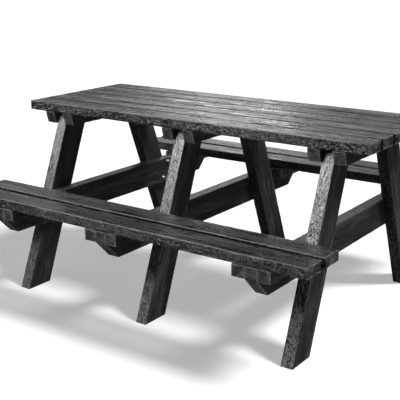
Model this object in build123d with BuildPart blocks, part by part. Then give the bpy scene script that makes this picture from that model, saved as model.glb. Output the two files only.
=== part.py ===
# Picnic table with two attached benches, carried by three A-frames of recycled plastic planks.
#
# X runs along the table (the left frame is at -X), Y from the front bench (-Y) to the rear bench
# (+Y), Z up. The origin is on the ground under the middle of the table. Millimetres.

from build123d import *
import os
from math import atan, cos, degrees, radians, sin, tan

# ---------------------------------------------------------------- driving dimensions
table_length = 1600
table_height = 760
board_width = 96
board_thickness = 40
edge_radius = 4.5              # rounding of the long edges of every plank and bar

tabletop_board_count = 6
tabletop_gap = 5

seat_length = 1580
seat_height = 444
seat_outer_y = 700             # half the overall width
seat_board_gap = 24

frame_centres = {"left": -637, "middle": -5, "right": 637}     # mid-planes of the legs
bearer_sides = {"left": 1, "middle": -1, "right": -1}          # side of the legs the bearer is on
frame_thickness = 50           # legs, bearers and cleats are all this thick

leg_width = 116
leg_lean = 21.35               # degrees from vertical
leg_foot_y = 543               # outer edge of the foot

seat_bearer_height = 115
end_chamfer = 72               # cut-off lower corners of the seat bearers

cleat_height = 45
cleat_length = 224

top_bearer_height = 50
top_bearer_half_length = 300   # at its upper edge
top_bearer_end_slant = 14      # how much shorter each end is at its lower edge

# ---------------------------------------------------------------- fasteners
bolt_diameter = 12
bolt_hole_radius = 6.5
coach_screw_length = 90
bolt_head_flats = 18
bolt_head_height = 7.5
nut_height = 10.8
washer_radius = 12
washer_thickness = 2.5
nut_recess_radius = 14
nut_recess_depth = 16
head_recess_depth = 12

screw_diameter = 8
screw_head_flats = 13
screw_head_height = 5.5
screw_clearance = 0.1          # radial gap between a screw and its pilot hole
screw_recess_radius = 8
screw_recess_depth = 12

# ---------------------------------------------------------------- derived sizes
under_top_z = table_height - board_thickness
under_seat_z = seat_height - board_thickness
bearer_mid_z = under_seat_z - seat_bearer_height / 2
cleat_mid_z = under_seat_z - cleat_height / 2
top_bearer_mid_z = under_top_z - top_bearer_height / 2
cleat_mid_y = seat_outer_y - cleat_length / 2
half_thickness = frame_thickness / 2

leg_slope = tan(radians(leg_lean))
leg_half_run = leg_width / cos(radians(leg_lean)) / 2          # half the foot's depth along Y

tabletop_pitch = board_width + tabletop_gap
tabletop_board_ys = [
    (i - (tabletop_board_count - 1) / 2) * tabletop_pitch for i in range(tabletop_board_count)
]
seat_outer_board_y = seat_outer_y - board_width / 2
seat_inner_board_y = seat_outer_board_y - board_width - seat_board_gap
seat_board_ys = {
    "front_outer": -seat_outer_board_y,
    "front_inner": -seat_inner_board_y,
    "rear_inner": seat_inner_board_y,
    "rear_outer": seat_outer_board_y,
}
ends = {"front": -1, "rear": 1}
flanks = {"left": -1, "right": 1}


def leg_centre_y(z):
    """Distance of a leg's centre line from the table's mid-plane at height z."""
    return leg_foot_y - leg_half_run - leg_slope * z


# Coach screws: two through the seat bearer into each leg, set on a diagonal.
coach_upper_z = bearer_mid_z + 38
coach_lower_z = bearer_mid_z - 38
coach_offset = 32
coach_yzs = [
    (leg_centre_y(coach_upper_z) + coach_offset, coach_upper_z),
    (leg_centre_y(coach_lower_z) - coach_offset, coach_lower_z),
]
coach_reach = coach_screw_length - washer_thickness - frame_thickness      # depth in the leg
coach_pilot_radius = bolt_diameter / 2 + screw_clearance
top_bolt_y = leg_centre_y(top_bearer_mid_z)

# Cleat screws: two through each cleat into the seat bearer.
cleat_screw_inset = 50
cleat_screw_ys = [seat_outer_y - cleat_screw_inset, seat_outer_y - cleat_length + cleat_screw_inset]
cleat_screw_length = 60
cleat_screw_z = cleat_mid_z - 2

# Screws driven upwards into the boards.
tabletop_screw_length = 64
seat_screw_length = 58
seat_screw_ys = [seat_outer_board_y - 22, seat_inner_board_y + 22]


def bearer_x(frame):
    """Mid-plane of a frame's seat bearer."""
    return frame_centres[frame] + bearer_sides[frame] * frame_thickness


def cleat_x(frame, flank):
    """Mid-plane of a cleat on the left (-1) or right (+1) flank of the seat bearer."""
    return bearer_x(frame) + flank * frame_thickness


def top_bearer_x(frame, flank):
    """Mid-plane of a top bearer on the left (-1) or right (+1) flank of the legs."""
    return frame_centres[frame] + flank * frame_thickness


def facing_x(x, y, z, direction):
    """Plane at a point whose normal runs along +X or -X."""
    return Plane(origin=(x, y, z), x_dir=(0, direction, 0), z_dir=(direction, 0, 0))


def facing_down(x, y, z):
    """Plane at a point whose normal runs straight down."""
    return Plane(origin=(x, y, z), x_dir=(1, 0, 0), z_dir=(0, 0, -1))


os.makedirs("parts", exist_ok=True)

# ---------------------------------------------------------------- boards of the top and the seats
screw_pilot_radius = screw_diameter / 2 + screw_clearance
tabletop_screw_reach = tabletop_screw_length - (top_bearer_height - screw_recess_depth)
seat_screw_reach = seat_screw_length - (cleat_height - screw_recess_depth)
top_screw_xs = [top_bearer_x(frame, flank) for frame in frame_centres for flank in (-1, 1)]
seat_screw_xs = [cleat_x(frame, flank) for frame in frame_centres for flank in (-1, 1)]

for number, board_y in enumerate(tabletop_board_ys, start=1):
    with BuildPart() as board:
        with BuildSketch(Plane.YZ.offset(-table_length / 2)):
            with Locations((board_y, table_height - board_thickness / 2)):
                RectangleRounded(board_width, board_thickness, edge_radius)
        extrude(amount=table_length)
        with Locations([facing_down(x, board_y, under_top_z) for x in top_screw_xs]):
            Hole(screw_pilot_radius, depth=tabletop_screw_reach + 1)
    board.part.label = f"tabletop_board_{number}"
    export_step(board.part, f"parts/tabletop_board_{number}.step")

for place, board_y in seat_board_ys.items():
    with BuildPart() as board:
        with BuildSketch(Plane.YZ.offset(-seat_length / 2)):
            with Locations((board_y, seat_height - board_thickness / 2)):
                RectangleRounded(board_width, board_thickness, edge_radius)
        extrude(amount=seat_length)
        side = 1 if board_y > 0 else -1
        screw_y = side * seat_screw_ys[0 if place.endswith("outer") else 1]
        with Locations([facing_down(x, screw_y, under_seat_z) for x in seat_screw_xs]):
            Hole(screw_pilot_radius, depth=seat_screw_reach + 1)
    board.part.label = f"seat_board_{place}"
    export_step(board.part, f"parts/seat_board_{place}.step")

# ---------------------------------------------------------------- legs
leg_blank = 900                # cut to length by the ground and the underside of the tabletop

for frame, frame_x in frame_centres.items():
    bearer_side = bearer_sides[frame]
    joint_face_x = frame_x + bearer_side * half_thickness
    for end, side in ends.items():
        foot_plane = Plane(
            origin=(frame_x, side * leg_centre_y(0), 0),
            x_dir=(1, 0, 0),
            z_dir=(0, -side * sin(radians(leg_lean)), cos(radians(leg_lean))),
        )
        with BuildPart() as leg:
            with BuildSketch(foot_plane):
                RectangleRounded(frame_thickness, leg_width, edge_radius)
            extrude(amount=leg_blank, both=True)
            split(bisect_by=Plane.XY, keep=Keep.TOP)
            split(bisect_by=Plane.XY.offset(under_top_z), keep=Keep.BOTTOM)
            coach_places = [facing_x(joint_face_x, side * y, z, bearer_side) for y, z in coach_yzs]
            with Locations(coach_places):
                Hole(coach_pilot_radius, depth=coach_reach + 1)
            with Locations(facing_x(frame_x + half_thickness, side * top_bolt_y, top_bearer_mid_z, 1)):
                Hole(bolt_hole_radius, depth=frame_thickness)
        leg.part.label = f"{frame}_{end}_leg"
        export_step(leg.part, f"parts/{frame}_{end}_leg.step")

# ---------------------------------------------------------------- seat bearers
for frame in frame_centres:
    centre_x = bearer_x(frame)
    with BuildPart() as bearer:
        with BuildSketch(Plane.XZ.offset(-seat_outer_y)):
            with Locations((centre_x, bearer_mid_z)):
                RectangleRounded(frame_thickness, seat_bearer_height, edge_radius)
        extrude(amount=2 * seat_outer_y)
        for side in ends.values():
            corner_z = under_seat_z - seat_bearer_height + end_chamfer
            corner = Plane(origin=(centre_x, side * seat_outer_y, corner_z), z_dir=(0, -side, 1))
            split(bisect_by=corner, keep=Keep.TOP)
            coach_places = [facing_x(centre_x + half_thickness, side * y, z, 1) for y, z in coach_yzs]
            with Locations(coach_places):
                Hole(bolt_hole_radius, depth=frame_thickness)
            for flank in flanks.values():
                face_x = centre_x + flank * half_thickness
                pilot_depth = cleat_screw_length - (frame_thickness - screw_recess_depth) + 1
                screw_places = [
                    facing_x(face_x, side * y, cleat_screw_z, flank) for y in cleat_screw_ys
                ]
                with Locations(screw_places):
                    Hole(screw_pilot_radius, depth=pilot_depth)
    bearer.part.label = f"{frame}_seat_bearer"
    export_step(bearer.part, f"parts/{frame}_seat_bearer.step")

# ---------------------------------------------------------------- top bearers
bolt_head_side = -1            # the top bolts' heads are on the left, their nuts on the right

for frame in frame_centres:
    for flank_name, flank in flanks.items():
        centre_x = top_bearer_x(frame, flank)
        outer_face_x = centre_x + flank * half_thickness
        recess_depth = head_recess_depth if flank == bolt_head_side else nut_recess_depth
        with BuildPart() as bearer:
            with BuildSketch(Plane.XZ.offset(-top_bearer_half_length)):
                with Locations((centre_x, top_bearer_mid_z)):
                    RectangleRounded(frame_thickness, top_bearer_height, edge_radius)
            extrude(amount=2 * top_bearer_half_length)
            for side in ends.values():
                end_cut = Plane(
                    origin=(centre_x, side * top_bearer_half_length, under_top_z),
                    z_dir=(0, -side * top_bearer_height, top_bearer_end_slant),
                )
                split(bisect_by=end_cut, keep=Keep.TOP)
                bolt_place = facing_x(outer_face_x, side * top_bolt_y, top_bearer_mid_z, flank)
                with Locations(bolt_place):
                    CounterBoreHole(bolt_hole_radius, nut_recess_radius, recess_depth)
            screw_z = under_top_z - top_bearer_height
            with Locations([facing_down(centre_x, y, screw_z) for y in tabletop_board_ys]):
                CounterBoreHole(screw_pilot_radius, screw_recess_radius, screw_recess_depth)
        bearer.part.label = f"{frame}_top_bearer_{flank_name}"
        export_step(bearer.part, f"parts/{frame}_top_bearer_{flank_name}.step")

# ---------------------------------------------------------------- seat cleats
for frame in frame_centres:
    for end, side in ends.items():
        for flank_name, flank in flanks.items():
            centre_x = cleat_x(frame, flank)
            outer_face_x = centre_x + flank * half_thickness
            with BuildPart() as cleat:
                with BuildSketch(Plane.XZ.offset(-side * seat_outer_y)):
                    with Locations((centre_x, cleat_mid_z)):
                        RectangleRounded(frame_thickness, cleat_height, edge_radius)
                extrude(amount=side * cleat_length)
                screw_places = [
                    facing_x(outer_face_x, side * y, cleat_screw_z, flank) for y in cleat_screw_ys
                ]
                with Locations(screw_places):
                    CounterBoreHole(screw_pilot_radius, screw_recess_radius, screw_recess_depth)
                screw_z = under_seat_z - cleat_height
                with Locations([facing_down(centre_x, side * y, screw_z) for y in seat_screw_ys]):
                    CounterBoreHole(screw_pilot_radius, screw_recess_radius, screw_recess_depth)
            cleat.part.label = f"{frame}_{end}_cleat_{flank_name}"
            export_step(cleat.part, f"parts/{frame}_{end}_cleat_{flank_name}.step")

# ---------------------------------------------------------------- bolts, washers and nuts
hexagon_ratio = 1 / cos(radians(30))       # corner radius of a hexagon over its inner radius


def hexagon_radius(flats):
    """Corner radius of a hexagon with the given distance across flats."""
    return flats / 2 * hexagon_ratio


def make_bolt(length, diameter, head_flats, head_height):
    """Hexagon bolt: the head's bearing face is at Z 0, the shank runs down from it."""
    with BuildPart() as bolt:
        with BuildSketch():
            RegularPolygon(hexagon_radius(head_flats), 6)
        extrude(amount=head_height)
        chamfer(bolt.faces().sort_by(Axis.Z)[-1].edges(), length=0.8)
        with BuildSketch():
            Circle(diameter / 2)
        extrude(amount=-length)
        chamfer(bolt.faces().sort_by(Axis.Z)[0].edges(), length=1)
    return bolt.part


def make_washer():
    """Flat washer lying on Z 0."""
    with BuildPart() as washer:
        with BuildSketch():
            Circle(washer_radius)
            Circle(bolt_hole_radius, mode=Mode.SUBTRACT)
        extrude(amount=washer_thickness)
    return washer.part


def make_nut():
    """Hexagon nut standing on Z 0, bored to slip over the bolt."""
    with BuildPart() as nut:
        with BuildSketch():
            RegularPolygon(hexagon_radius(bolt_head_flats), 6)
            Circle(bolt_diameter / 2 + screw_clearance, mode=Mode.SUBTRACT)
        extrude(amount=nut_height)
    return nut.part


def export_group(piece, planes, name):
    """Write one node that holds a copy of the piece at each plane."""
    with BuildPart() as group:
        with Locations(planes):
            add(piece)
    group.part.label = name
    export_step(group.part, f"parts/{name}.step")


# Coach screws: heads and washers on the outer face of the seat bearer, tips inside the leg.
coach_heads, coach_washers = [], []
for frame in frame_centres:
    head_side = bearer_sides[frame]
    head_face_x = bearer_x(frame) + head_side * half_thickness
    for side in ends.values():
        for y, z in coach_yzs:
            head_seat_x = head_face_x + head_side * washer_thickness
            coach_heads.append(facing_x(head_seat_x, side * y, z, head_side))
            coach_washers.append(facing_x(head_face_x, side * y, z, head_side))

coach_screw = make_bolt(coach_screw_length, bolt_diameter, bolt_head_flats, bolt_head_height)
export_group(coach_screw, coach_heads, "leg_coach_screws")
export_group(make_washer(), coach_washers, "leg_coach_screw_washers")

# Top bolts: through both top bearers and the leg between them, sunk at both ends.
top_grip = 3 * frame_thickness - head_recess_depth - nut_recess_depth
top_bolt_length = top_grip + 2 * washer_thickness + nut_height + 2
top_heads, top_nuts, top_washers = [], [], []
for frame in frame_centres:
    head_x = top_bearer_x(frame, bolt_head_side) + bolt_head_side * (half_thickness - head_recess_depth)
    nut_x = top_bearer_x(frame, -bolt_head_side) - bolt_head_side * (half_thickness - nut_recess_depth)
    for side in ends.values():
        y, z = side * top_bolt_y, top_bearer_mid_z
        top_heads.append(facing_x(head_x + bolt_head_side * washer_thickness, y, z, bolt_head_side))
        top_nuts.append(facing_x(nut_x - bolt_head_side * washer_thickness, y, z, -bolt_head_side))
        top_washers.append(facing_x(head_x, y, z, bolt_head_side))
        top_washers.append(facing_x(nut_x, y, z, -bolt_head_side))

top_bolt = make_bolt(top_bolt_length, bolt_diameter, bolt_head_flats, bolt_head_height)
export_group(top_bolt, top_heads, "top_bearer_bolts")
export_group(make_washer(), top_washers, "top_bearer_washers")
export_group(make_nut(), top_nuts, "top_bearer_nuts")

# ---------------------------------------------------------------- screws
cleat_screw_places = [
    facing_x(
        cleat_x(frame, flank) + flank * (half_thickness - screw_recess_depth),
        side * y,
        cleat_screw_z,
        flank,
    )
    for frame in frame_centres
    for side in ends.values()
    for flank in flanks.values()
    for y in cleat_screw_ys
]
tabletop_screw_places = [
    facing_down(x, y, under_top_z - top_bearer_height + screw_recess_depth)
    for x in top_screw_xs
    for y in tabletop_board_ys
]
seat_screw_places = [
    facing_down(x, side * y, under_seat_z - cleat_height + screw_recess_depth)
    for x in seat_screw_xs
    for side in ends.values()
    for y in seat_screw_ys
]
for name, length, places in (
    ("cleat_screws", cleat_screw_length, cleat_screw_places),
    ("tabletop_screws", tabletop_screw_length, tabletop_screw_places),
    ("seat_screws", seat_screw_length, seat_screw_places),
):
    screw = make_bolt(length, screw_diameter, screw_head_flats, screw_head_height)
    export_group(screw, places, name)
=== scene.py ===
"""Picnic table of near-black recycled plastic planks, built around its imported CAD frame.

Every plank of the CAD model is replaced by a finely modelled one: worn rounded edges, sawn ends,
shallow flow grooves along the grain, and counterbores with broken rims. The zinc-plated bolts,
washers, nuts and screws are modelled again with rounded heads and ring-shaped thread ridges.
Metres, Z up.
"""

import math

import bmesh
import bpy
import numpy as np
from mathutils import Matrix, Vector


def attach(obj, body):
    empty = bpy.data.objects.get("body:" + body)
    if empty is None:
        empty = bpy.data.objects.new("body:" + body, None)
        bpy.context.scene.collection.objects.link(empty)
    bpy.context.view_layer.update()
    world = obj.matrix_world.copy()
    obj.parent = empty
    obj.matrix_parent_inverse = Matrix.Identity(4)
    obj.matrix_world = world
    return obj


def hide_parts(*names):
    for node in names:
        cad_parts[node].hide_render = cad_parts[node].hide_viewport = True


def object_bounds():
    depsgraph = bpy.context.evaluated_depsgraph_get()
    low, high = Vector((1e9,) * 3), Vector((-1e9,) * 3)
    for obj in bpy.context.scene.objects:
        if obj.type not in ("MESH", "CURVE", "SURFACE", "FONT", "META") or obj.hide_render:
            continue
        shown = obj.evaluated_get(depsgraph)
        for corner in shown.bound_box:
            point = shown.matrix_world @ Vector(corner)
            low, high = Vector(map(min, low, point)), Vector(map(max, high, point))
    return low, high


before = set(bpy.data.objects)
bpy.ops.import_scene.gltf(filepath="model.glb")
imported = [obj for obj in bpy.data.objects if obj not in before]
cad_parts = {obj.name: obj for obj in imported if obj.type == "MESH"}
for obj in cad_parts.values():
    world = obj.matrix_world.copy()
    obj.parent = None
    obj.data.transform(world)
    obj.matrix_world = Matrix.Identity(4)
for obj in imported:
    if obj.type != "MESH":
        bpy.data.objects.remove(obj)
cad_low, cad_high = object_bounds()

MM = 0.001
X, Y, Z = np.eye(3)

FRAMES = ("left", "middle", "right")
ENDS = ("front", "rear")
LEG_LEAN = math.radians(21.35)           # the same lean as the CAD legs


# ---------------------------------------------------------------- noise for the plank surfaces
def lattice_values(cells, seed):
    """A repeatable random number from -1 to 1 for every whole-number cell."""
    x, y, z = (cells[:, i].astype(np.uint64) for i in range(3))
    mixed = x * np.uint64(73856093) ^ y * np.uint64(19349663) ^ z * np.uint64(83492791)
    mixed = (mixed ^ np.uint64(seed * 2654435761)) & np.uint64(0xFFFFFFFF)
    for shift, factor in ((16, 2246822519), (13, 3266489917)):
        mixed = ((mixed ^ (mixed >> np.uint64(shift))) * np.uint64(factor)) & np.uint64(0xFFFFFFFF)
    mixed ^= mixed >> np.uint64(16)
    return mixed.astype(float) / 0x7FFFFFFF - 1


def smooth_noise(points, seed):
    """Value noise from -1 to 1 at each point, one feature per unit."""
    shifted = points + 1000
    cells = np.floor(shifted).astype(np.int64)
    share = shifted - cells
    share = share * share * (3 - 2 * share)
    total = np.zeros(len(points))
    for corner in np.ndindex(2, 2, 2):
        weight = np.prod(np.where(corner, share, 1 - share), axis=1)
        total += weight * lattice_values(cells + np.array(corner), seed)
    return total


def stretched_noise(points, along, across, seed):
    """Noise whose features are so long along the plank and so wide across it, in metres."""
    return smooth_noise(points / np.array([along, across, across]), seed)


def above(values, threshold):
    """0 up to the threshold, rising smoothly to 1 at the value 1."""
    share = np.clip((values - threshold) / (1 - threshold), 0, 1)
    return share * share * (3 - 2 * share)


# ---------------------------------------------------------------- planks
EDGE_RADIUS = 2.4 * MM
END_BEVEL = 1.2 * MM
CORNER_STEPS = 4
STATION_STEP = 9 * MM
LEAST_RECESS_DEPTH = 6 * MM
PILOT_RADIUS = 7 * MM                    # narrower blind holes are hidden pilot holes
ACROSS_STEP = 4 * MM


class Plank:
    """A CAD plank seen along its own axes: columns of turn are its length, width and thickness."""

    def __init__(self, node, length_axis, width_axis, seed, gap_sides=(), gap_rim=0):
        self.node, self.seed, self.gap_sides, self.gap_rim = node, seed, gap_sides, gap_rim
        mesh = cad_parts[node].data
        thickness_axis = np.cross(length_axis, width_axis)
        self.turn = np.array([length_axis, width_axis, thickness_axis]).T
        points = np.array([v.co for v in mesh.vertices]) @ self.turn
        self.centre = (points.min(0) + points.max(0)) / 2
        self.half = (points.max(0) - points.min(0)) / 2
        self.ends = self.find_end_planes(mesh)
        self.recesses = self.find_recesses(mesh)

    def find_end_planes(self, mesh):
        """The flat cuts at the ends, each (normal, offset) in the plank's own axes."""
        areas = {}
        for face in mesh.polygons:
            normal = np.array(face.normal) @ self.turn
            if abs(normal[0]) > 0.15:
                offset = normal @ (np.array(face.center) @ self.turn - self.centre)
                key = tuple(np.round([*normal, offset / MM * 0.1], 2))
                area, _, _ = areas.get(key, (0, None, None))
                areas[key] = (area + face.area, normal, offset)
        smallest = 300 * MM * MM
        return [(normal, offset) for area, normal, offset in areas.values() if area > smallest]

    def find_recesses(self, mesh):
        """Counterbores, each (centre of the floor, outward direction, radius), in the plank's axes."""
        shape = bmesh.new()
        shape.from_mesh(mesh)
        floors = set()
        for face in shape.faces:
            normal = np.array(face.normal) @ self.turn
            place = np.array(face.calc_center_median()) @ self.turn - self.centre
            axis = int(np.argmax(np.abs(normal)))
            inside = self.half[axis] - abs(place[axis])
            if axis > 0 and abs(normal[axis]) > 0.999 and inside > LEAST_RECESS_DEPTH:
                floors.add(face)
        recesses = []
        while floors:
            group, queue = set(), [floors.pop()]
            while queue:
                face = queue.pop()
                group.add(face)
                for edge in face.edges:
                    for other in edge.link_faces:
                        if other in floors:
                            floors.remove(other)
                            queue.append(other)
            corners = {v for f in group for v in f.verts}
            rim = np.array([v.co for v in corners]) @ self.turn - self.centre
            centre = (rim.min(0) + rim.max(0)) / 2
            direction = np.round(np.array(next(iter(group)).normal) @ self.turn)
            spans = (rim.max(0) - rim.min(0))[direction == 0]
            if spans.min() > 0.95 * spans.max() and spans.max() > 2 * PILOT_RADIUS:
                recesses.append((centre, direction, spans.max() / 2))
        shape.free()
        return sorted(recesses, key=lambda r: tuple(np.round(r[0], 5)))

    def end_places(self, across, forward):
        """Where lines along the plank meet its end, for points across it of shape (n, 2)."""
        limits = []
        for normal, offset in self.ends:
            if (normal[0] > 0) == forward:
                limits.append((offset - across @ normal[1:]) / normal[0])
        return np.min(limits, axis=0) if forward else np.max(limits, axis=0)


def ring_outline(half_width, half_thickness, radius, counts):
    """Points round a rounded rectangle, and their outward directions."""
    width_steps, thickness_steps = counts
    radius = max(radius, 0.05 * MM)
    points, outward = [], []
    quarter = np.linspace(0, math.pi / 2, CORNER_STEPS + 1)
    inner_w, inner_t = half_width - radius, half_thickness - radius
    centres = ((1, 1), (-1, 1), (-1, -1), (1, -1))
    for corner, (sign_w, sign_t) in enumerate(centres):
        for angle in quarter + corner * math.pi / 2:
            direction = np.array([math.cos(angle), math.sin(angle)])
            points.append(np.array([sign_w * inner_w, sign_t * inner_t]) + radius * direction)
            outward.append(direction)
        steps = width_steps if corner % 2 == 0 else thickness_steps
        span = 2 * (inner_w if corner % 2 == 0 else inner_t)
        heading = np.array([-direction[1], direction[0]])
        start = points[-1]
        for i in range(1, steps):
            points.append(start + heading * span * i / steps)
            outward.append(direction)
    return np.array(points), np.array(outward)


def surface_depth(plank, local, outward, on_end):
    """How far the worn surface lies under the CAD face, at points in the plank's axes."""
    shifted = local + np.array([plank.seed * 3.1, plank.seed * 0.7, 0])
    seed = plank.seed
    swell = 0.35 * MM * (1 + stretched_noise(shifted, 0.30, 0.06, seed)) / 2
    flow = 0.75 * MM * (1 + stretched_noise(shifted, 0.15, 0.020, seed + 5)) / 2
    grooves = 0.60 * MM * above(np.abs(stretched_noise(shifted, 0.16, 0.007, seed + 1)), 0.45)
    wide_face = np.abs(outward[:, 1])
    wrinkles = (1 - np.abs(stretched_noise(shifted, 0.026, 0.013, seed + 2))) ** 3
    wrinkles *= MM * (0.20 + 0.45 * np.abs(outward[:, 0]))
    depth = swell + flow * (0.25 + 0.75 * wide_face) + grooves * (0.3 + 0.7 * wide_face) + wrinkles
    corner = np.clip(2 * np.abs(outward[:, 0] * outward[:, 1]), 0, 1)
    nicks = above(stretched_noise(shifted, 0.030, 0.05, seed + 3), 0.10)
    depth += corner * (0.10 * MM + 0.7 * MM * nicks)
    sawn = 0.25 * MM * (1 + stretched_noise(shifted, 0.006, 0.006, seed + 4)) / 2
    return np.where(on_end, sawn, depth)


def plank_shape(plank):
    """The worn plank's vertices in its own axes and its faces."""
    half_length, half_width, half_thickness = plank.half
    radius = min(EDGE_RADIUS, half_width, half_thickness)
    counts = [max(2, round(2 * (h - radius) / ACROSS_STEP)) for h in (half_width, half_thickness)]
    around, outward = ring_outline(half_width, half_thickness, radius, counts)
    per_ring = len(around)
    near_ends = np.array([END_BEVEL, 3 * MM, 7 * MM])
    middle = np.linspace(0, 1, max(2, round(2 * half_length / STATION_STEP)))[1:-1]

    rings, directions, on_end = [], [], []

    def add_ring(places, across, facing, is_end):
        rings.append(np.column_stack([places, across]))
        directions.append(facing)
        on_end.append(np.full(per_ring, is_end))

    def add_cap(forward):
        """Rings from the bevelled rim to a slit in the middle of the end, or back from it."""
        sign = 1 if forward else -1
        inward = min(half_width, half_thickness)
        insets = [0.3 * END_BEVEL, END_BEVEL, 3 * MM]
        insets += list(np.arange(7 * MM, inward - 1 * MM, 5 * MM)) + [inward - 0.4 * MM]
        cap = []
        for inset in insets:
            across, _ = ring_outline(
                half_width - inset, half_thickness - inset, radius - inset, counts
            )
            sunk = max(0, END_BEVEL * 0.3 - inset * 0.3)
            cap.append((plank.end_places(across, forward) - sign * sunk, across, inset >= END_BEVEL))
        for places, across, flat in cap if forward else reversed(cap):
            add_ring(places, across, outward, flat)

    low, high = plank.end_places(around, False), plank.end_places(around, True)
    start, stop = low + near_ends[-1], high - near_ends[-1]
    add_cap(False)
    for inset in near_ends:
        add_ring(low + inset, around, outward, False)
    for share in middle:
        add_ring(start + (stop - start) * share, around, outward, False)
    for inset in near_ends[::-1]:
        add_ring(high - inset, around, outward, False)
    add_cap(True)

    points = np.concatenate(rings)
    facing = np.concatenate(directions)
    flat_end = np.concatenate(on_end)
    depth = surface_depth(plank, points, facing, flat_end)
    sides = ~flat_end
    points[sides, 1:] -= facing[sides] * depth[sides, None]
    toward_middle = np.where(points[:, 0] > 0, -1, 1)
    points[flat_end, 0] += (toward_middle * depth)[flat_end]
    across = points[:, 1:]                                   # nothing may pass a slanted end cut
    points[:, 0] = np.clip(points[:, 0], plank.end_places(across, False), plank.end_places(across, True))

    faces = []
    for ring in range(len(rings) - 1):
        base = ring * per_ring
        for i in range(per_ring):
            j = (i + 1) % per_ring
            faces.append((base + i, base + j, base + per_ring + j, base + per_ring + i))
    faces.append(tuple(reversed(range(per_ring))))
    last = (len(rings) - 1) * per_ring
    faces.append(tuple(range(last, last + per_ring)))
    return points, faces


RECESS_SIDES = 32
RIM_BREAK = 0.8 * MM


def recess_cutter(plank):
    """One mesh of round plugs that cut the plank's counterbores, with flared rims."""
    points, faces = [], []
    for centre, direction, radius in plank.recesses:
        axis = int(np.argmax(np.abs(direction)))
        depth = plank.half[axis] - abs(centre[axis])
        first, second = (np.eye(3)[i] for i in range(3) if i != axis)
        if np.cross(first, second) @ direction < 0:
            first, second = second, first
        levels = (
            (0, radius),
            (depth - RIM_BREAK, radius),
            (depth + RIM_BREAK, radius + 2 * RIM_BREAK),
            (depth + 5 * MM, radius + 2 * RIM_BREAK),
        )
        base = len(points)
        for level, level_radius in levels:
            for i in range(RECESS_SIDES):
                angle = 2 * math.pi * i / RECESS_SIDES
                around = first * math.cos(angle) + second * math.sin(angle)
                points.append(centre + direction * level + around * level_radius)
        for level in range(len(levels) - 1):
            for i in range(RECESS_SIDES):
                j = (i + 1) % RECESS_SIDES
                low, high = base + level * RECESS_SIDES, base + (level + 1) * RECESS_SIDES
                faces.append((low + i, low + j, high + j, high + i))
        faces.append(tuple(base + i for i in reversed(range(RECESS_SIDES))))
        top = base + (len(levels) - 1) * RECESS_SIDES
        faces.append(tuple(top + i for i in range(RECESS_SIDES)))
    mesh = bpy.data.meshes.new("cutter")
    mesh.from_pydata([tuple(p) for p in points], [], faces)
    return bpy.data.objects.new("cutter", mesh)


def cut_recesses(piece, plank):
    """Cuts the counterbores out of the plank for good."""
    cutter = recess_cutter(plank)
    bpy.context.scene.collection.objects.link(cutter)
    modifier = piece.modifiers.new("recesses", "BOOLEAN")
    modifier.object = cutter
    modifier.operation = "DIFFERENCE"
    modifier.solver = "EXACT"
    bpy.context.view_layer.update()
    depsgraph = bpy.context.evaluated_depsgraph_get()
    result = bpy.data.meshes.new_from_object(piece.evaluated_get(depsgraph))
    piece.modifiers.clear()
    piece.data = result
    bpy.data.objects.remove(cutter)


CREASE_ANGLE = math.radians(38)


def set_sharp_edges(mesh):
    """Smooth shading, with edges sharper than the crease angle left crisp."""
    shape = bmesh.new()
    shape.from_mesh(mesh)
    for face in shape.faces:
        face.smooth = True
    for edge in shape.edges:
        edge.smooth = edge.calc_face_angle(0) < CREASE_ANGLE
    shape.to_mesh(mesh)
    shape.free()


def add_surface_zones(mesh, plank):
    """Stores, at every vertex, the grain coordinates and where on the plank it lies."""
    local = np.array([v.co for v in mesh.vertices])
    shift = np.array([plank.seed * 3.1, plank.seed * 0.7, 0])
    grain = mesh.attributes.new("grain", "FLOAT_VECTOR", "POINT")
    grain.data.foreach_set("vector", (local + shift).ravel())

    from_width = plank.half[1] - np.abs(local[:, 1])
    from_thickness = plank.half[2] - np.abs(local[:, 2])
    across = local[:, 1:]
    from_end = np.minimum(
        plank.end_places(across, True) - local[:, 0], local[:, 0] - plank.end_places(across, False)
    )
    distances = np.sort(np.column_stack([from_width, from_thickness, from_end]), axis=1)
    narrow = np.clip((from_thickness - from_width) / (4 * MM) + 0.5, 0, 1)
    end = np.clip(1 - (from_end - 0.6 * MM) / (0.8 * MM), 0, 1)
    edge = np.clip(1 - distances[:, 1] / (6 * MM), 0, 1)
    zones = mesh.attributes.new("zones", "FLOAT_VECTOR", "POINT")
    zones.data.foreach_set("vector", np.column_stack([narrow, end, edge]).ravel())
    # Painted shade: the sides facing a neighbouring board are marked to be drawn black, from gap_rim
    # under the top face down.
    crevice = np.zeros(len(local))
    for side in plank.gap_sides:
        from_gap = plank.half[1] - side * local[:, 1]
        crevice = np.maximum(crevice, np.clip(1.9 - from_gap / (4 * MM), 0, 1))
    crevice *= np.clip((from_thickness - plank.gap_rim) / (2 * MM) + 1, 0, 1)
    shadowed = mesh.attributes.new("crevice", "FLOAT", "POINT")
    shadowed.data.foreach_set("value", crevice)


def make_plank(node, length_axis, width_axis, material, slot, seed, *gaps):
    """Replaces a CAD plank by its worn, detailed version; gaps are the sides facing a neighbour."""
    plank = Plank(node, length_axis, width_axis, seed, *gaps)
    points, faces = plank_shape(plank)
    mesh = bpy.data.meshes.new(node + "_surface")
    mesh.from_pydata([tuple(p) for p in points], [], faces)
    piece = bpy.data.objects.new(node + "_plank", mesh)
    bpy.context.scene.collection.objects.link(piece)
    if plank.recesses:
        cut_recesses(piece, plank)
    mesh = piece.data
    mesh.name = node + "_surface"
    set_sharp_edges(mesh)
    add_surface_zones(mesh, plank)
    turn = Matrix(plank.turn.tolist())
    place = turn.to_4x4()
    place.translation = turn @ Vector(plank.centre)
    mesh.transform(place)
    mesh.materials.clear()
    mesh.materials.append(material)
    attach(piece, "root")
    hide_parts(node)


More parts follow.
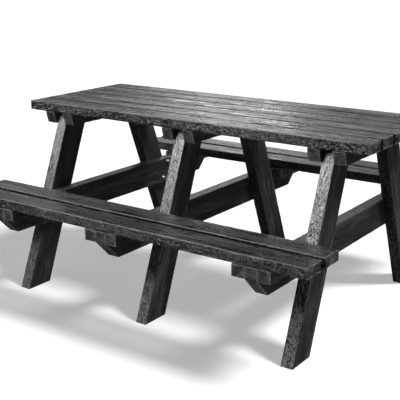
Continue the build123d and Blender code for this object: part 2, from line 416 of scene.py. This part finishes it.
# ---------------------------------------------------------------- materials
class Nodes:
    """Short calls for building one material's node tree."""

    def __init__(self, name):
        self.material = bpy.data.materials.new(name)
        self.material.use_nodes = True
        self.tree = self.material.node_tree
        self.shader = self.tree.nodes["Principled BSDF"]

    def link(self, value, socket):
        """Connects an output, or sets a plain value."""
        if isinstance(value, bpy.types.NodeSocket):
            self.tree.links.new(value, socket)
        else:
            socket.default_value = value

    def attribute(self, name, output="Vector"):
        node = self.tree.nodes.new("ShaderNodeAttribute")
        node.attribute_name = name
        return node.outputs[output]

    def split(self, vector):
        node = self.tree.nodes.new("ShaderNodeSeparateXYZ")
        self.link(vector, node.inputs[0])
        return node.outputs

    def scaled(self, vector, x, y, z):
        node = self.tree.nodes.new("ShaderNodeVectorMath")
        node.operation = "MULTIPLY"
        self.link(vector, node.inputs[0])
        node.inputs[1].default_value = (x, y, z)
        return node.outputs[0]

    def noise(self, vector, scale=1.0, detail=4.0, roughness=0.55, distortion=0.0):
        node = self.tree.nodes.new("ShaderNodeTexNoise")
        self.link(vector, node.inputs["Vector"])
        node.inputs["Scale"].default_value = scale
        node.inputs["Detail"].default_value = detail
        node.inputs["Roughness"].default_value = roughness
        node.inputs["Distortion"].default_value = distortion
        return node.outputs["Fac"]

    def cells(self, vector, scale):
        """The distance to the nearest of the scattered cell centres."""
        node = self.tree.nodes.new("ShaderNodeTexVoronoi")
        self.link(vector, node.inputs["Vector"])
        node.inputs["Scale"].default_value = scale
        return node.outputs["Distance"]

    def math(self, operation, first, second=0.0):
        node = self.tree.nodes.new("ShaderNodeMath")
        node.operation = operation
        self.link(first, node.inputs[0])
        self.link(second, node.inputs[1])
        return node.outputs[0]

    def weighted(self, *parts):
        """The sum of (value, weight) pairs."""
        total = None
        for value, weight in parts:
            part = self.math("MULTIPLY", value, weight)
            total = part if total is None else self.math("ADD", total, part)
        return total

    def remap(self, value, low, high, new_low=0.0, new_high=1.0):
        """Stretches a value's range low..high onto another, clamped, with smooth ends."""
        node = self.tree.nodes.new("ShaderNodeMapRange")
        node.interpolation_type = "SMOOTHSTEP"
        for name, number in (
            ("From Min", low), ("From Max", high), ("To Min", new_low), ("To Max", new_high)
        ):
            self.link(number, node.inputs[name])
        self.link(value, node.inputs["Value"])
        return node.outputs[0]

    def blend(self, share, first, second):
        """Plain numbers mixed by share."""
        node = self.tree.nodes.new("ShaderNodeMix")
        self.link(share, node.inputs[0])
        self.link(first, node.inputs[2])
        self.link(second, node.inputs[3])
        return node.outputs[0]

    def blend_colour(self, share, first, second):
        node = self.tree.nodes.new("ShaderNodeMix")
        node.data_type = "RGBA"
        self.link(share, node.inputs[0])
        self.link(first, node.inputs[6])
        self.link(second, node.inputs[7])
        return node.outputs[2]

    def bump(self, height, distance, strength=1.0):
        node = self.tree.nodes.new("ShaderNodeBump")
        self.link(height, node.inputs["Height"])
        node.inputs["Distance"].default_value = distance
        node.inputs["Strength"].default_value = strength
        return node.outputs[0]


def grey(level, warmth=0.0):
    """A near-neutral colour in linear light."""
    return (level * (1 + warmth), level, level * (1 - warmth), 1)


SAWN = grey(0.13, 0.01)                  # plastic laid open by the saw at the ends
WORN_EDGE_AND_HIGHLIGHT = grey(0.10, 0.01)                # long edges, pale from wear and as a painted highlight
WORN_END_AND_HIGHLIGHT = grey(0.34, 0.01)            # edges round the cut ends, paler still: wear and a painted highlight
UNLIT = grey(0.002)                      # painted shade deep in gaps and pits
BUMP_HEIGHT = 0.8 * MM


def plastic_material(name, saw_scale, pit_scale, stain_floor, wide, narrow, edge_rough, ior=1.5):
    """Recycled plastic with flow streaks, wrinkled narrow faces, painted shade in pits and gaps, and
    worn edges paled by wear and a painted highlight.

    stain_floor is how much of the tone the darkest smudges keep. wide and narrow describe those
    faces: the brightness of the grooves and of the ridges, then their roughness. edge_rough is the
    roughness of the worn edges, dull and then glinting.
    """
    n = Nodes(name)
    grain = n.attribute("grain")
    is_narrow, end, edge = n.split(n.attribute("zones"))[:3]
    crevice = n.attribute("crevice", "Fac")                  # 1 inside the gap beside a neighbour, where painted shade goes

    broad = n.noise(n.scaled(grain, 3.2, 26, 26), detail=2, roughness=0.5, distortion=0.9)
    streaks = n.noise(n.scaled(grain, 8, 75, 75), detail=4, roughness=0.6, distortion=0.6)
    fine = n.noise(n.scaled(grain, 30, 420, 420), detail=3, roughness=0.6)
    smudges = n.noise(n.scaled(grain, 3.0, 25, 25), detail=3, roughness=0.55, distortion=0.6)
    mottle = n.noise(n.scaled(grain, 42, 75, 75), detail=3, roughness=0.6, distortion=1.8)
    ridges = n.remap(n.math("ABSOLUTE", n.math("SUBTRACT", mottle, 0.5)), 0.005, 0.085, 1.0, 0.0)
    speckle = n.noise(n.scaled(grain, 150, 210, 210), detail=3, roughness=0.6)
    spots = n.remap(speckle, 0.38, 0.62)
    plateau = n.remap(n.cells(n.scaled(grain, *pit_scale), 1.0), 0.22, 0.54)
    saw_lines = n.noise(n.scaled(grain, *saw_scale), detail=2)

    long_grain = n.weighted((broad, 0.32), (streaks, 0.42), (fine, 0.26))
    long_grain = n.remap(long_grain, 0.435, 0.565)
    wrinkled = n.weighted((ridges, 0.60), (spots, 0.40))
    sawn = n.weighted((n.remap(saw_lines, 0.30, 0.70), 0.3), (spots, 0.7))
    relief = n.blend(is_narrow, long_grain, wrinkled)
    relief = n.blend(end, relief, sawn)

    stain = n.remap(smudges, 0.38, 0.57, stain_floor, 1.0)
    tone = n.math("MULTIPLY", relief, stain)
    light = n.blend_colour(is_narrow, grey(wide[1], 0.01), grey(narrow[1], 0.01))
    light = n.blend_colour(end, light, SAWN)
    dark = n.blend_colour(is_narrow, grey(wide[0]), grey(narrow[0]))
    colour = n.blend_colour(n.math("POWER", tone, 1.4), dark, light)
    # Worn edges are lightened in speckled patches, as wear and as a painted highlight, most of all round
    # the cut ends.
    edge_wear_and_highlight = n.math("MULTIPLY", edge, n.remap(speckle, 0.47, 0.60))
    worn = n.blend_colour(end, WORN_EDGE_AND_HIGHLIGHT, WORN_END_AND_HIGHLIGHT)
    colour = n.blend_colour(n.math("MULTIPLY", edge_wear_and_highlight, n.blend(end, 0.6, 0.85)), colour, worn)
    # Painted shade in the pits of the narrow faces: they are made black, with no sheen.
    sunk_dot = n.math("MULTIPLY", n.math("SUBTRACT", 1.0, plateau), n.blend(is_narrow, 0.0, 0.90))
    # Painted shade in the gaps beside a neighbour, broken into dashes: black, with no sheen.
    broken = n.remap(n.noise(n.scaled(grain, 12, 40, 40), detail=2), 0.38, 0.56, 0.86, 1.0)
    unlit = n.math("MAXIMUM", sunk_dot, n.math("MULTIPLY", crevice, broken))
    colour = n.blend_colour(n.math("MULTIPLY", unlit, 0.95), colour, UNLIT)
    n.link(colour, n.shader.inputs["Base Color"])

    rough = n.blend(is_narrow, n.blend(tone, *wide[2:]), n.blend(tone, *narrow[2:]))
    rough = n.blend(plateau, n.blend(is_narrow, wide[2], 0.30), rough)
    glint = n.remap(speckle, 0.54, 0.62)
    rough = n.blend(n.remap(edge, 0.45, 0.80), rough, n.blend(glint, *edge_rough))
    n.link(rough, n.shader.inputs["Roughness"])
    # The plastic isn't metallic: black metal takes the sheen out of the gaps and pits, as painted shade.
    n.link(unlit, n.shader.inputs["Metallic"])

    sunk = n.blend(is_narrow, 0.65, 0.25)
    height = n.math("MULTIPLY", relief, n.blend(plateau, sunk, 1.0))
    n.link(n.bump(height, BUMP_HEIGHT), n.shader.inputs["Normal"])
    n.shader.inputs["IOR"].default_value = ior
    return n.material


def zinc_material():
    """Zinc-plated steel, slightly mottled."""
    n = Nodes("zinc_steel_plated")
    place = n.tree.nodes.new("ShaderNodeTexCoord").outputs["Object"]
    spangle = n.cells(place, 260)
    grime = n.noise(place, scale=90, detail=4, roughness=0.6)
    colour = n.blend_colour(n.remap(grime, 0.3, 0.7), grey(0.45), grey(0.75))
    n.link(colour, n.shader.inputs["Base Color"])
    n.link(n.remap(spangle, 0, 0.9, 0.28, 0.5), n.shader.inputs["Roughness"])
    n.shader.inputs["Metallic"].default_value = 1.0
    n.link(n.bump(grime, 0.4 * MM, 0.5), n.shader.inputs["Normal"])
    return n.material


BOARD_SAW = (30, 420, 30)                # saw lines run through the thickness of the boards
FRAME_SAW = (30, 30, 420)                # and up the width of the bearers and cleats
BOARD_PITS = (190, 150, 115)
FRAME_PITS = (66, 235, 235)
tabletop_plastic = plastic_material(
    "tabletop_plastic_streaked", BOARD_SAW, BOARD_PITS, 0.28,
    wide=(0.006, 0.135, 0.16, 0.48), narrow=(0.004, 0.034, 0.20, 0.34), edge_rough=(0.9, 0.9), ior=1.43,
)
seat_plastic = plastic_material(
    "seat_plastic_streaked", BOARD_SAW, BOARD_PITS, 0.5,
    wide=(0.006, 0.05, 0.26, 0.42), narrow=(0.004, 0.08, 0.28, 0.54), edge_rough=(0.95, 0.9),
)
frame_plastic = plastic_material(
    "frame_plastic_mottled", FRAME_SAW, FRAME_PITS, 0.35,
    wide=(0.015, 0.046, 0.32, 0.44), narrow=(0.003, 0.066, 0.34, 0.57), edge_rough=(0.8, 0.4),
)
zinc = zinc_material()

# ---------------------------------------------------------------- the table's planks
seed = 1
for number in range(1, 7):
    gap_sides = [side for side in (-1, 1) if 1 <= number + side <= 6]
    make_plank(f"tabletop_board_{number}", X, Y, tabletop_plastic, "board_plastic", seed, gap_sides)
    seed += 1
for place, gap_side in (("front_outer", 1), ("front_inner", -1), ("rear_inner", 1), ("rear_outer", -1)):
    make_plank(f"seat_board_{place}", X, Y, seat_plastic, "board_plastic", seed, [gap_side], 4 * MM)
    seed += 1
for name in FRAMES:
    for end in ENDS:
        side = -1 if end == "front" else 1
        up_the_leg = np.array([0, -side * math.sin(LEG_LEAN), math.cos(LEG_LEAN)])
        across_the_leg = np.array([0, math.cos(LEG_LEAN), side * math.sin(LEG_LEAN)])
        make_plank(f"{name}_{end}_leg", up_the_leg, across_the_leg, frame_plastic, "frame_plastic", seed)
        seed += 1
    make_plank(f"{name}_seat_bearer", Y, Z, frame_plastic, "frame_plastic", seed)
    seed += 1
    for flank in ("left", "right"):
        make_plank(f"{name}_top_bearer_{flank}", Y, Z, frame_plastic, "frame_plastic", seed)
        seed += 1
        for end in ENDS:
            make_plank(f"{name}_{end}_cleat_{flank}", Y, Z, frame_plastic, "frame_plastic", seed)
            seed += 1

# ---------------------------------------------------------------- fasteners
RING_SIDES = 24
COACH_PITCH, BOLT_PITCH = 4 * MM, 1.75 * MM


def solid_places(mesh):
    """The corner positions of every separate solid in a mesh."""
    shape = bmesh.new()
    shape.from_mesh(mesh)
    bmesh.ops.remove_doubles(shape, verts=shape.verts, dist=0.001 * MM)
    unseen, solids = set(shape.verts), []
    while unseen:
        queue, group = [unseen.pop()], []
        while queue:
            vertex = queue.pop()
            group.append(tuple(vertex.co))
            for edge in vertex.link_edges:
                other = edge.other_vert(vertex)
                if other in unseen:
                    unseen.remove(other)
                    queue.append(other)
        solids.append(np.array(group))
    shape.free()
    return sorted(solids, key=lambda places: tuple(np.round(places.mean(0), 5)))


def ring(height, radius, flats=None):
    """Points round the Z axis, trimmed to a hexagon with two corners on X if flats is given."""
    angles = np.arange(RING_SIDES) * 2 * math.pi / RING_SIDES
    radii = np.full(RING_SIDES, radius)
    if flats is not None:
        from_flat = angles % (math.pi / 3) - math.pi / 6
        radii = np.minimum(radii, flats / 2 / np.cos(from_flat))
    return np.column_stack([radii * np.cos(angles), radii * np.sin(angles), np.full(RING_SIDES, height)])


def bolt_rings(length, radius, flats, head_height, pitch):
    """A hexagon-head bolt or screw, threaded over the lower two thirds, from its tip to its crown."""
    rings = [ring(-length, 0.70 * radius)]
    height = -length + 0.6 * pitch
    while height < -length / 3:
        rings += [ring(height, 0.84 * radius), ring(height + pitch / 2, radius)]
        height += pitch
    rings += [ring(height, 0.96 * radius), ring(0, 0.96 * radius)]
    rings += [ring(0, 0.54 * flats, flats), ring(0.06 * head_height, flats, flats)]
    for angle in np.radians((0, 20, 40, 58, 74, 90)):
        limit = (0.30 + 0.28 * math.cos(angle)) * flats
        rings.append(ring((0.62 + 0.38 * math.sin(angle)) * head_height, limit, flats))
    return rings


def washer_rings(thickness, inner, outer):
    """A flat washer standing on Z 0, with broken edges."""
    profile = (
        (0, outer - 0.5 * MM), (0.5 * MM, outer), (thickness - 0.5 * MM, outer),
        (thickness, outer - 0.5 * MM), (thickness, inner + 0.3 * MM), (thickness - 0.3 * MM, inner),
        (0.3 * MM, inner), (0, inner + 0.3 * MM),
    )
    return [ring(*level) for level in profile]


def nut_rings(height, inner, flats):
    """A hexagon nut standing on Z 0, its corners rounded off on both faces."""
    profile = (
        (0, 0.50 * flats), (0.14 * height, 0.58 * flats), (0.86 * height, 0.58 * flats),
        (height, 0.50 * flats), (height, inner + 0.8 * MM), (height - 0.8 * MM, inner),
        (0.8 * MM, inner), (0, inner + 0.8 * MM),
    )
    return [ring(*level, flats) for level in profile]


def skin(rings, hollow):
    """Points and faces of a surface through the rings, closed on itself or by a cap at each end."""
    count, faces = len(rings), []
    for low in range(count if hollow else count - 1):
        high = (low + 1) % count
        for i in range(RING_SIDES):
            j = (i + 1) % RING_SIDES
            faces.append([k * RING_SIDES + m for k, m in ((low, i), (low, j), (high, j), (high, i))])
    if not hollow:
        faces.append(list(reversed(range(RING_SIDES))))
        faces.append(list(range((count - 1) * RING_SIDES, count * RING_SIDES)))
    return np.concatenate(rings), faces


def make_fasteners(node, axis, shape_rings, hollow, shank_radius=0.0, head_height=0.0):
    """Replaces every solid of a CAD fastener node, all lying along one axis, by a detailed one.

    shape_rings gives a solid's rings from its length along the axis and its width across flats. A
    solid that isn't hollow has a head, wider than its shank, which shows the way it points.
    """
    points, faces = [], []
    for places in solid_places(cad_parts[node].data):
        low, high = places.min(0), places.max(0)
        middle, size = (low + high) / 2, high - low
        across = sorted((i for i in range(3) if i != axis), key=lambda i: size[i])
        along, corner = np.eye(3)[axis], np.eye(3)[across[1]]
        bottom = low[axis]
        if not hollow:
            from_axis = np.hypot(*(places - middle)[:, across].T)
            head = places[from_axis > 1.1 * shank_radius]
            if head[:, axis].mean() < middle[axis]:
                along = -along
            bottom = (along @ middle + size[axis] / 2 - head_height) * along[axis]
        origin = middle.copy()
        origin[axis] = bottom
        solid, solid_faces = skin(shape_rings(size[axis], size[across[0]]), hollow)
        turn = np.array([corner, np.cross(along, corner), along])
        base = sum(len(p) for p in points)
        points.append(origin + solid @ turn)
        faces += [[base + i for i in face] for face in solid_faces]
    mesh = bpy.data.meshes.new(node + "_surface")
    mesh.from_pydata(np.concatenate(points).tolist(), [], faces)
    set_sharp_edges(mesh)
    mesh.materials.append(zinc)
    piece = bpy.data.objects.new(node + "_detailed", mesh)
    bpy.context.scene.collection.objects.link(piece)
    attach(piece, "root")
    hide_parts(node)


def make_bolts(node, axis, radius, head_height, pitch):
    """Detailed bolts or screws of one CAD node, all lying along the same axis."""
    def shape(size, flats):
        return bolt_rings(size - head_height, radius, flats, head_height, pitch)
    make_fasteners(node, axis, shape, False, radius, head_height)


BOLT_RADIUS, BOLT_HEAD = 6 * MM, 7.5 * MM
SCREW_RADIUS, SCREW_HEAD = 4 * MM, 5.5 * MM
WASHER_HOLE, NUT_BORE = 6.5 * MM, 6.1 * MM
make_bolts("leg_coach_screws", 0, BOLT_RADIUS, BOLT_HEAD, COACH_PITCH)
make_bolts("top_bearer_bolts", 0, BOLT_RADIUS, BOLT_HEAD, BOLT_PITCH)
make_bolts("cleat_screws", 0, SCREW_RADIUS, SCREW_HEAD, COACH_PITCH)
make_bolts("tabletop_screws", 2, SCREW_RADIUS, SCREW_HEAD, COACH_PITCH)
make_bolts("seat_screws", 2, SCREW_RADIUS, SCREW_HEAD, COACH_PITCH)
for node in ("leg_coach_screw_washers", "top_bearer_washers"):
    make_fasteners(node, 0, lambda size, width: washer_rings(size, WASHER_HOLE, width / 2), True)
make_fasteners("top_bearer_nuts", 0, lambda size, flats: nut_rings(size, NUT_BORE, flats), True)

# ---------------------------------------------------------------- studio
FLOOR_SIZE = 80.0
FLOOR_GLOW = 0.38                        # keeps the shadows pale
floor_mesh = bpy.data.meshes.new("floor")
reach = FLOOR_SIZE / 2
floor_mesh.from_pydata(
    [(-reach, -reach, 0), (reach, -reach, 0), (reach, reach, 0), (-reach, reach, 0)], [], [(0, 1, 2, 3)]
)
floor = bpy.data.objects.new("floor", floor_mesh)
bpy.context.scene.collection.objects.link(floor)
floor_nodes = Nodes("pale_floor")
floor_nodes.shader.inputs["Base Color"].default_value = grey(0.8)
floor_nodes.shader.inputs["Roughness"].default_value = 0.9
floor_nodes.shader.inputs["Specular IOR Level"].default_value = 0.0
floor_nodes.shader.inputs["Emission Color"].default_value = (1, 1, 1, 1)
floor_nodes.shader.inputs["Emission Strength"].default_value = FLOOR_GLOW
floor_mesh.materials.append(floor_nodes.material)
floor.visible_glossy = False             # its reflection would grey the dark undersides

GROUND_GLOW, SKY_GLOW = 0.03, 0.10
world = bpy.data.worlds.new("studio")
bpy.context.scene.world = world
world.use_nodes = True
tree = world.node_tree
sky = tree.nodes["Background"]
direction = tree.nodes.new("ShaderNodeSeparateXYZ")
tree.links.new(tree.nodes.new("ShaderNodeTexCoord").outputs["Generated"], direction.inputs[0])
rise = tree.nodes.new("ShaderNodeMapRange")
rise.inputs["From Min"].default_value = -0.08
rise.inputs["From Max"].default_value = 0.12
rise.inputs["To Min"].default_value = GROUND_GLOW
rise.inputs["To Max"].default_value = SKY_GLOW
tree.links.new(direction.outputs["Z"], rise.inputs["Value"])
tree.links.new(rise.outputs[0], sky.inputs["Strength"])
sky.inputs["Color"].default_value = (1, 1, 1, 1)


def aim(light, place, target):
    """Puts a lamp at a place and points it at the target."""
    light.location = place
    light.rotation_mode = "QUATERNION"
    light.rotation_quaternion = (Vector(target) - Vector(place)).to_track_quat("-Z", "Y")


def softbox(name, toward, distance, width, height, power):
    """A soft panel seen from the table in the given direction, for its reflections only."""
    data = bpy.data.lights.new(name, "AREA")
    data.shape = "RECTANGLE"
    data.size, data.size_y = width, height
    data.energy = power
    panel = bpy.data.objects.new(name, data)
    bpy.context.scene.collection.objects.link(panel)
    middle = (cad_low + cad_high) / 2
    aim(panel, middle + Vector(toward).normalized() * distance, middle)
    panel.visible_camera = False
    panel.visible_diffuse = False
    return panel


key_data = bpy.data.lights.new("key", "SUN")
key_data.energy = 3.3
key_data.angle = math.radians(14.6)
key = bpy.data.objects.new("key", key_data)
bpy.context.scene.collection.objects.link(key)
aim(key, (0.58, 0.16, 0.80), (0, 0, 0))

softbox("front_left_panel", (-0.52, -0.82, 1.00), 4.0, 2.2, 2.4, 1300)
softbox("back_wall", (-0.53, 0.81, 0.40), 6.0, 6.0, 1.2, 30)
softbox("back_panel", (-0.53, 0.81, 0.36), 5.9, 1.3, 0.9, 24)

# ---------------------------------------------------------------- camera
CAMERA_PLACE = (1.958, -2.898, 1.378)
CAMERA_AZIMUTH = math.radians(35.49)
CAMERA_ELEVATION = math.radians(14.28)
CAMERA_ROLL = math.radians(-0.26)
camera_data = bpy.data.cameras.new("camera")
camera_data.lens = 77.4
camera_data.sensor_width = 36
camera_data.shift_y = -0.07
camera = bpy.data.objects.new("camera", camera_data)
bpy.context.scene.collection.objects.link(camera)
backward = Vector((
    math.sin(CAMERA_AZIMUTH) * math.cos(CAMERA_ELEVATION),
    -math.cos(CAMERA_AZIMUTH) * math.cos(CAMERA_ELEVATION),
    math.sin(CAMERA_ELEVATION),
))
level_right = Vector((math.cos(CAMERA_AZIMUTH), math.sin(CAMERA_AZIMUTH), 0))
camera_turn = Matrix((level_right, backward.cross(level_right), backward)).transposed()
camera_turn = camera_turn @ Matrix.Rotation(CAMERA_ROLL, 3, "Z")
camera.matrix_world = Matrix.Translation(CAMERA_PLACE) @ camera_turn.to_4x4()
bpy.context.scene.camera = camera
bpy.context.scene.view_settings.view_transform = "Standard"
